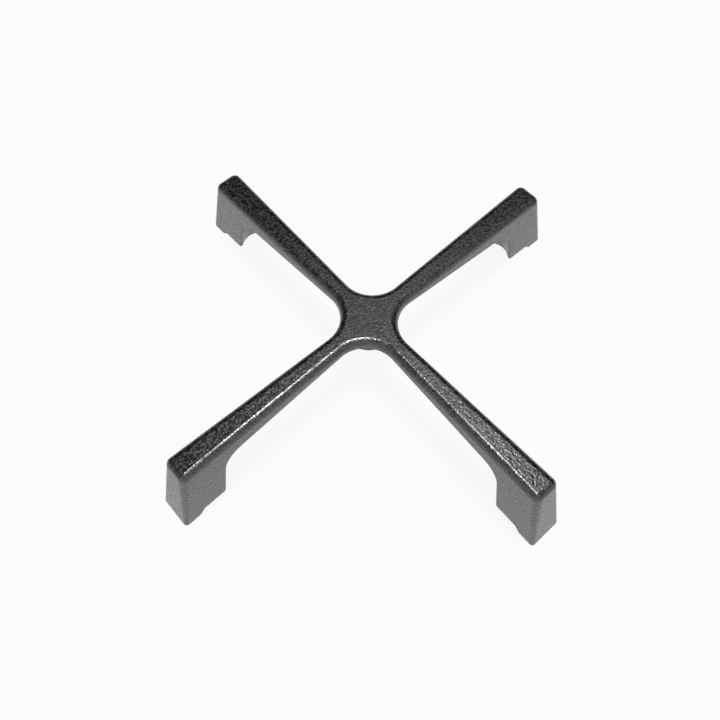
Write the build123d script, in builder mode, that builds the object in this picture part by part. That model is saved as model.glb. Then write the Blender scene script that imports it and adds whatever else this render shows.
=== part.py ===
from build123d import *
import os
from math import cos, radians, sin, tan

os.makedirs("parts", exist_ok=True)

# Driving dimensions, in millimetres and degrees.
# The support stands on Z = 0 with its centre over the origin and its arms along X and Y.
height = 41.0             # hob surface to the flat top that the pan rests on
arm_count = 4
top_reach = 107.5         # centre to the tip of an arm, measured along the top
arm_root = 20.0           # centre to where the underside of the arm begins to fall
arm_root_width = 9.2      # across the top, at the root
arm_tip_width = 13.1      # across the top, at the tip
arm_root_depth = 5.3      # top to underside, at the root
arm_leg_depth = 10.4      # top to underside, where the underside meets the leg
side_draft = 2.7          # the side walls widen downwards
leg_lean = 15.0           # both leg faces lean outwards going down
foot_length = 23.8        # along the arm, at the bottom of the leg
lug_length = 8.7          # locating lug under the outer end of the foot
lug_drop = 2.9            # how far the lug stands below the foot
lug_lean = 48.0           # slope of the inner face of the lug, from upright
leg_bend_radius = 11.5    # underside of the arm into the inner leg face
hollow_depth = 2.6        # groove down the middle of the inner leg face
hollow_rim = 0.9          # flat left on each side of the groove, at its upper end
hub_sweep_radius = 15.5   # plan curve from one arm to the next
boss_radius = 13.4        # round boss under the hub, at its bottom
boss_drop = 2.1           # how far the boss stands below the arms
boss_draft = 20.0         # the boss widens downwards
top_edge_radius = 3.1
corner_extra_radius = 0.2 # upright corners at the end of each arm: at the top, beyond the top edge's radius
foot_corner_radius = 1.8  # the same corners, at the hob surface
lower_edge_radius = 0.7
foot_edge_radius = 1.0    # across the foot, at its inner end and at both ends of the lug's slope

# Places worked out from the sizes above
lean_slope = tan(radians(leg_lean))
draft_slope = tan(radians(side_draft))
foot_outer = top_reach + height * lean_slope
foot_inner = foot_outer - foot_length
side_view_end = foot_outer + foot_length
lug_inner = foot_outer - lug_length
lug_root = lug_inner - lug_drop * tan(radians(lug_lean))
hub_underside = height - arm_root_depth
leg_top = height - arm_leg_depth
leg_inner_top = foot_inner - (leg_top - lug_drop) * lean_slope
boss_bottom = hub_underside - boss_drop
boss_height = height - top_edge_radius - boss_bottom
boss_top_radius = boss_radius - boss_height * tan(radians(boss_draft))
top_corner_radius = top_edge_radius + corner_extra_radius

# Half width of an arm: it grows evenly along the arm, and the walls spread evenly going down.
width_slope = (arm_tip_width - arm_root_width) / 2 / (top_reach - arm_root)
centre_half_width = arm_root_width / 2 - width_slope * arm_root
foot_spread = height * draft_slope

# The groove in the leg follows the leaning inner face, from the foot to where the bend begins.
groove_length = (leg_top - lug_drop) / cos(radians(leg_lean)) - leg_bend_radius
groove_end_reach = foot_inner - groove_length * sin(radians(leg_lean))
groove_end_drop = height - lug_drop - groove_length * cos(radians(leg_lean))
leg_half_width = centre_half_width + width_slope * groove_end_reach + draft_slope * groove_end_drop
groove_half_chord = leg_half_width - hollow_rim
groove_radius = (groove_half_chord**2 + hollow_depth**2) / (2 * hollow_depth)
groove_offset = groove_radius - hollow_depth
leg_section = Plane(
    origin=(foot_inner, 0, lug_drop),
    x_dir=(0, 1, 0),
    z_dir=(-sin(radians(leg_lean)), 0, cos(radians(leg_lean))),
)

# Side view of one arm and its leg, thick enough to cover the hub and running on past the end of the arm
with BuildPart() as arm_side:
    with BuildSketch(Plane.XZ) as elevation:
        with BuildLine():
            Polyline(
                (0, height),
                (side_view_end, height),
                (side_view_end, 0),
                (lug_inner, 0),
                (lug_root, lug_drop),
                (foot_inner, lug_drop),
                (leg_inner_top, leg_top),
                (arm_root, hub_underside),
                (0, hub_underside),
                close=True,
            )
        make_face()
        leg_bend = elevation.vertices().sort_by_distance((leg_inner_top, leg_top))[0]
        fillet(leg_bend, radius=leg_bend_radius)
        for foot_corner in ((lug_inner, 0), (lug_root, lug_drop), (foot_inner, lug_drop)):
            fillet(elevation.vertices().sort_by_distance(foot_corner)[0], radius=foot_edge_radius)
    extrude(amount=arm_root, both=True)

with BuildPart() as all_sides:
    with PolarLocations(0, arm_count):
        add(arm_side.part)

# Round-ended groove, as the solid that it takes out of one leg
with BuildPart() as leg_groove:
    with BuildSketch(leg_section.offset(-hollow_depth)):
        with Locations((0, groove_offset)):
            Circle(groove_radius)
    extrude(amount=hollow_depth + groove_length)
    with Locations(leg_section.location * Location((0, groove_offset, groove_length))):
        Sphere(groove_radius)

with BuildPart() as pan_support:
    # Plan of the cross at the top and at the feet, joined by straight walls and then cut to the side view
    for level, reach, spread, corner_radius in (
        (height, top_reach, 0, top_corner_radius),
        (0, foot_outer, foot_spread, foot_corner_radius),
    ):
        root_half_width = centre_half_width + spread
        end_half_width = root_half_width + width_slope * reach
        with BuildSketch(Plane.XY.offset(level)) as plan:
            with PolarLocations(0, arm_count):
                Polygon(
                    (0, -root_half_width),
                    (reach, -end_half_width),
                    (reach, end_half_width),
                    (0, root_half_width),
                    align=None,
                )
            fillet(plan.vertices().sort_by_distance((0, 0))[:arm_count], radius=hub_sweep_radius)
            fillet(plan.vertices().sort_by_distance((0, 0))[-2 * arm_count:], radius=corner_radius)
    loft(ruled=True)
    add(all_sides.part, mode=Mode.INTERSECT)
    fillet(pan_support.faces().sort_by(Axis.Z)[-1].edges(), radius=top_edge_radius)

    # Rounded edges between the side walls and everything that faces down, which run on round each foot
    side_walls = pan_support.faces().filter_by(lambda face: 0 < face.normal_at().Z < 2 * draft_slope)
    underside = pan_support.faces().filter_by(lambda face: face.normal_at().Z < 0)
    fillet(side_walls.edges() & underside.edges(), radius=lower_edge_radius)

    with PolarLocations(0, arm_count):
        add(leg_groove.part, mode=Mode.SUBTRACT)

    # Boss under the hub
    with Locations((0, 0, boss_bottom)):
        Cone(boss_radius, boss_top_radius, boss_height, align=(Align.CENTER, Align.CENTER, Align.MIN))
    boss_face = pan_support.faces().filter_by(Plane.XY).sort_by_distance((0, 0, 0))[0]
    fillet(boss_face.edges(), radius=lower_edge_radius)

pan_support.part.label = "pan_support"
export_step(pan_support.part, "parts/pan_support.step")
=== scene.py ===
from math import cos, pi, radians, sin

import bmesh
import bpy
from mathutils import Matrix, Vector

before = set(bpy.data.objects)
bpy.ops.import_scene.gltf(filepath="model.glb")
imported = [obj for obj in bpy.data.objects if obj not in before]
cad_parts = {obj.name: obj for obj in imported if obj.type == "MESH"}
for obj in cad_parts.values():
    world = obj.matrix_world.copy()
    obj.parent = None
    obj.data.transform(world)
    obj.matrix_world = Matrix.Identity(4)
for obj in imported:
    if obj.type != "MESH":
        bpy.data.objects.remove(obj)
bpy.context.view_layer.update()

MM = 0.001
WHITE = "#FFFFFF"

# Camera that was fitted to the photograph's outline, in the part's own frame
VIEW_AZIMUTH = -41.221     # degrees, 0 looks along +Y
VIEW_ELEVATION = 64.104    # degrees above the hob
VIEW_ROLL = -0.526         # degrees
VIEW_DISTANCE = 303.966    # mm from the target
VIEW_TARGET = (-17.208, -13.156, 41.0)  # mm
VIEW_LENS = 34.722         # mm
VIEW_SENSOR = 36.0         # mm
VIEW_CLIP = (10.0, 50000.0)             # mm

# Enamel: the sizes and heights of its patterns are in mm
SPECK_SIZE = 1.0           # about 0.5 in the real coat, drawn coarser because finer doesn't show
GRAIN_SIZE = 1.1           # the casting's sand grain, about 0.5, drawn coarser because finer doesn't show
WAVE_SIZE = 4.0            # slow waves of the enamel as it was sprayed
UPRIGHT_SCALE = 0.7        # patterns are longer up the walls, because finer doesn't show on them at a slant
SPECK_SPAN = (0.36, 0.64)  # where the specks' noise goes from dark to light
SPECK_COLOURS = ("#0A0A0B", "#383839")
SPECK_ROUGHNESS = (0.18, 0.32)
SIDE_GRAIN_HEIGHT = 0.5    # as cast
EDGE_GRAIN_HEIGHT = 0.08   # the coat draws thin and smooth round the edges
TOP_GRAIN_EXTRA = 0.04     # on the flat top, above that of the edges
WAVE_HEIGHT = 0.05
EDGE_START = (0.4, 0.9)    # upward part of the surface direction, from the sides to the edges
TOP_START = (0.99, 0.999)  # the same, from the edges to the flat top
ENAMEL_IOR = 1.8

# Studio
FLOOR_RADIUS = 8000.0      # mm
FLOOR_GAP = 0.05           # mm under the feet, so that the two faces don't share a plane
FLOOR_COLOUR = "#F7F7F7"
FLOOR_GLOW_SHARE = 0.9     # how much of the floor shows plain white, the rest shows light and shadow
ROOM_DIM_LEVEL = 0.03      # behind the object
ROOM_FRONT_LEVEL = 0.9     # on the camera's side
ROOM_SPAN = (-0.5, 1.0)    # cosine of the angle to the camera's side, from the dim level to the front level
BACKDROP_RISE = 0.12       # how high the white backdrop stands in reflections, as the sine of the angle

# Lamps: name, direction (right, ahead, up) from the camera's side, distance and diameter in mm, level
LAMPS = (
    ("overhead_lamp", (0.06, 0.1, 0.99), 1500.0, 240.0, 0.36),
    ("right_soft_box", (0.42, 0.05, 0.9), 1200.0, 1100.0, 0.04),
    ("far_soft_box", (0.08, 0.42, 0.9), 1500.0, 700.0, 0.037),
)


def linear(hex_colour):
    """Linear RGBA of an sRGB hex colour."""
    channels = [int(hex_colour[i:i + 2], 16) / 255 for i in (1, 3, 5)]
    return [c / 12.92 if c <= 0.04045 else ((c + 0.055) / 1.055) ** 2.4 for c in channels] + [1.0]


def add_node(tree, kind, inputs=None, **settings):
    """Adds a node, sets its settings, and gives each input a value or a link."""
    node = tree.nodes.new(kind)
    for name, value in settings.items():
        setattr(node, name, value)
    for name, value in (inputs or {}).items():
        if isinstance(value, bpy.types.NodeSocket):
            tree.links.new(value, node.inputs[name])
        else:
            node.inputs[name].default_value = value
    return node


def new_material(name):
    """An empty node material."""
    material = bpy.data.materials.new(name)
    material.use_nodes = True
    material.node_tree.nodes.clear()
    return material


def fired_enamel():
    """Matt vitreous enamel, sprayed and fired on sand-cast iron.

    To the eye it is a near-black glass skin with a fine pebbled grain from the casting below.
    It takes a soft sheen from pale surroundings at a low angle, and it glints in specks under a lamp.
    Pans have rubbed the top smoother than the sides.
    """
    material = new_material("matt_vitreous_enamel_on_cast_iron")
    tree = material.node_tree
    coordinates = add_node(tree, "ShaderNodeTexCoord").outputs
    place = add_node(tree, "ShaderNodeMapping", {
        "Vector": coordinates["Object"], "Scale": (1.0, 1.0, UPRIGHT_SCALE),
    }).outputs["Vector"]
    grain = add_node(tree, "ShaderNodeTexNoise", {
        "Vector": place, "Scale": 1 / (GRAIN_SIZE * MM), "Detail": 1.0, "Roughness": 0.5,
    }).outputs["Fac"]
    waves = add_node(tree, "ShaderNodeTexNoise", {
        "Vector": place, "Scale": 1 / (WAVE_SIZE * MM), "Detail": 1.0, "Roughness": 0.5,
    }).outputs["Fac"]
    # The fourth dimension only makes the specks fall elsewhere than the grain.
    specks = add_node(tree, "ShaderNodeTexNoise", {
        "Vector": place, "Scale": 1 / (SPECK_SIZE * MM), "Detail": 0.0,
    }, noise_dimensions="4D").outputs["Fac"]

    # Dark specks are glossy glass, light ones are duller.
    tint = add_node(tree, "ShaderNodeValToRGB", {"Fac": specks})
    for element, position, colour in zip(tint.color_ramp.elements, SPECK_SPAN, SPECK_COLOURS):
        element.position = position
        element.color = linear(colour)
    roughness = add_node(tree, "ShaderNodeMapRange", {
        "Value": specks, "From Min": SPECK_SPAN[0], "From Max": SPECK_SPAN[1],
        "To Min": SPECK_ROUGHNESS[0], "To Max": SPECK_ROUGHNESS[1],
    }).outputs["Result"]

    # The grain's height: as cast on the sides, smooth round the edges, rubbed down on the top
    upward = add_node(tree, "ShaderNodeSeparateXYZ", {"Vector": coordinates["Normal"]}).outputs["Z"]
    side_height = add_node(tree, "ShaderNodeMapRange", {
        "Value": upward, "From Min": EDGE_START[0], "From Max": EDGE_START[1],
        "To Min": SIDE_GRAIN_HEIGHT * MM, "To Max": EDGE_GRAIN_HEIGHT * MM,
    }).outputs["Result"]
    top_height = add_node(tree, "ShaderNodeMapRange", {
        "Value": upward, "From Min": TOP_START[0], "From Max": TOP_START[1],
        "To Min": 0.0, "To Max": TOP_GRAIN_EXTRA * MM,
    }).outputs["Result"]
    grain_height = add_node(tree, "ShaderNodeMath", {
        0: side_height, 1: top_height,
    }, operation="ADD").outputs["Value"]
    wavy = add_node(tree, "ShaderNodeBump", {
        "Height": waves, "Strength": 1.0, "Distance": WAVE_HEIGHT * MM,
    }).outputs["Normal"]
    pebbled = add_node(tree, "ShaderNodeBump", {
        "Height": grain, "Normal": wavy, "Strength": 1.0, "Distance": grain_height,
    }).outputs["Normal"]

    skin = add_node(tree, "ShaderNodeBsdfPrincipled", {
        "Base Color": tint.outputs["Color"], "Roughness": roughness, "IOR": ENAMEL_IOR, "Metallic": 0.0,
        "Normal": pebbled,
    }).outputs["BSDF"]
    add_node(tree, "ShaderNodeOutputMaterial", {"Surface": skin})
    return material


def floor_paint():
    """Pale matt paint of the studio floor, shown white, which keeps a faint shadow."""
    material = new_material("pale_matt_floor_paint")
    tree = material.node_tree
    rays = add_node(tree, "ShaderNodeLightPath").outputs
    seen = add_node(tree, "ShaderNodeMath", {
        0: rays["Is Camera Ray"], 1: rays["Is Glossy Ray"],
    }, operation="ADD").outputs["Value"]
    seen = add_node(tree, "ShaderNodeMath", {
        0: seen, 1: rays["Is Transmission Ray"],
    }, operation="ADD").outputs["Value"]
    share = add_node(tree, "ShaderNodeMath", {
        0: seen, 1: FLOOR_GLOW_SHARE,
    }, operation="MULTIPLY", use_clamp=True).outputs["Value"]
    paint = add_node(tree, "ShaderNodeBsdfDiffuse", {"Color": linear(FLOOR_COLOUR)}).outputs["BSDF"]
    glow = add_node(tree, "ShaderNodeEmission", {"Color": linear(WHITE), "Strength": 1.0}).outputs["Emission"]
    mixed = add_node(tree, "ShaderNodeMixShader", {0: share, 1: paint, 2: glow}).outputs["Shader"]
    add_node(tree, "ShaderNodeOutputMaterial", {"Surface": mixed})
    return material


def lay_floor():
    """The floor: one large disc under the feet."""
    disc = bmesh.new()
    bmesh.ops.create_circle(
        disc, cap_ends=True, radius=FLOOR_RADIUS * MM, segments=96,
        matrix=Matrix.Translation((0, 0, -FLOOR_GAP * MM)),
    )
    mesh = bpy.data.meshes.new("studio_floor")
    disc.to_mesh(mesh)
    disc.free()
    mesh.materials.append(floor_paint())
    floor = bpy.data.objects.new("studio_floor", mesh)
    bpy.context.scene.collection.objects.link(floor)


def heading(right, ahead, up):
    """A direction given as seen from the camera's side of the hob, in the part's frame."""
    turn = radians(VIEW_AZIMUTH)
    across = Vector((cos(turn), sin(turn), 0))
    away = Vector((-sin(turn), cos(turn), 0))
    return (across * right + away * ahead + Vector((0, 0, up))).normalized()


def hang_lamp(name, direction, distance, diameter, level):
    """A round soft lamp that faces the hub. Its level is the light that it throws there, 1 for plain."""
    data = bpy.data.lights.new(name, "AREA")
    data.shape = "DISK"
    data.size = diameter * MM
    # The power that gives a facing surface an irradiance of level times pi
    data.energy = level * pi * pi * ((distance * MM) ** 2 + (diameter * MM / 2) ** 2)
    lamp = bpy.data.objects.new(name, data)
    bpy.context.scene.collection.objects.link(lamp)
    along = direction.cross(heading(1, 0, 0)).normalized()
    turned = Matrix((along.cross(direction), along, direction)).transposed().to_4x4()
    lamp.matrix_world = Matrix.Translation(direction * distance * MM) @ turned
    lamp.visible_camera = False


def surround_with_room():
    """A room that is dim behind the object and pale on the camera's side, with a white backdrop."""
    room = bpy.data.worlds.new("dim_room")
    room.use_nodes = True
    tree = room.node_tree
    tree.nodes.clear()
    way = add_node(tree, "ShaderNodeTexCoord").outputs["Generated"]
    towards_front = add_node(tree, "ShaderNodeVectorMath", {
        0: way, 1: heading(0, -1, 0),
    }, operation="DOT_PRODUCT").outputs["Value"]
    dim_level = add_node(tree, "ShaderNodeMapRange", {
        "Value": towards_front, "From Min": ROOM_SPAN[0], "From Max": ROOM_SPAN[1],
        "To Min": ROOM_DIM_LEVEL, "To Max": ROOM_FRONT_LEVEL,
    }, interpolation_type="SMOOTHSTEP").outputs["Result"]

    # The camera sees the white backdrop at any height, reflections see its low edge.
    rays = add_node(tree, "ShaderNodeLightPath").outputs
    rise = add_node(tree, "ShaderNodeSeparateXYZ", {"Vector": way}).outputs["Z"]
    low_edge = add_node(tree, "ShaderNodeMapRange", {
        "Value": rise, "From Min": 0.0, "From Max": BACKDROP_RISE, "To Min": 1.0, "To Max": 0.0,
    }).outputs["Result"]
    mirrored = add_node(tree, "ShaderNodeMath", {
        0: rays["Is Glossy Ray"], 1: rays["Is Transmission Ray"],
    }, operation="ADD").outputs["Value"]
    shown = add_node(tree, "ShaderNodeMath", {
        0: mirrored, 1: low_edge, 2: rays["Is Camera Ray"],
    }, operation="MULTIPLY_ADD", use_clamp=True).outputs["Value"]
    level = add_node(tree, "ShaderNodeMapRange", {
        "Value": shown, "To Min": dim_level, "To Max": 1.0,
    }).outputs["Result"]
    walls = add_node(tree, "ShaderNodeBackground", {
        "Color": linear(WHITE), "Strength": level,
    }).outputs["Background"]
    add_node(tree, "ShaderNodeOutputWorld", {"Surface": walls})
    bpy.context.scene.world = room


def set_camera():
    """The camera, at the photograph's viewing angle."""
    turn, rise, roll = (radians(a) for a in (VIEW_AZIMUTH, VIEW_ELEVATION, VIEW_ROLL))
    back = Vector((sin(turn) * cos(rise), -cos(turn) * cos(rise), sin(rise)))
    level_right = heading(1, 0, 0)
    level_up = back.cross(level_right)
    right = level_right * cos(roll) + level_up * sin(roll)
    up = level_up * cos(roll) - level_right * sin(roll)
    data = bpy.data.cameras.new("photo_camera")
    data.sensor_width = VIEW_SENSOR
    data.lens = VIEW_LENS
    data.clip_start, data.clip_end = (distance * MM for distance in VIEW_CLIP)
    camera = bpy.data.objects.new("photo_camera", data)
    bpy.context.scene.collection.objects.link(camera)
    place = Matrix.Translation((Vector(VIEW_TARGET) + back * VIEW_DISTANCE) * MM)
    camera.matrix_world = place @ Matrix((right, up, back)).transposed().to_4x4()
    bpy.context.scene.camera = camera


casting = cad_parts["pan_support"]
casting.data.materials.clear()
casting.data.materials.append(fired_enamel())

lay_floor()
for lamp_name, lamp_way, lamp_distance, lamp_diameter, lamp_level in LAMPS:
    hang_lamp(lamp_name, heading(*lamp_way), lamp_distance, lamp_diameter, lamp_level)
surround_with_room()
set_camera()
bpy.context.scene.view_settings.view_transform = "Standard"
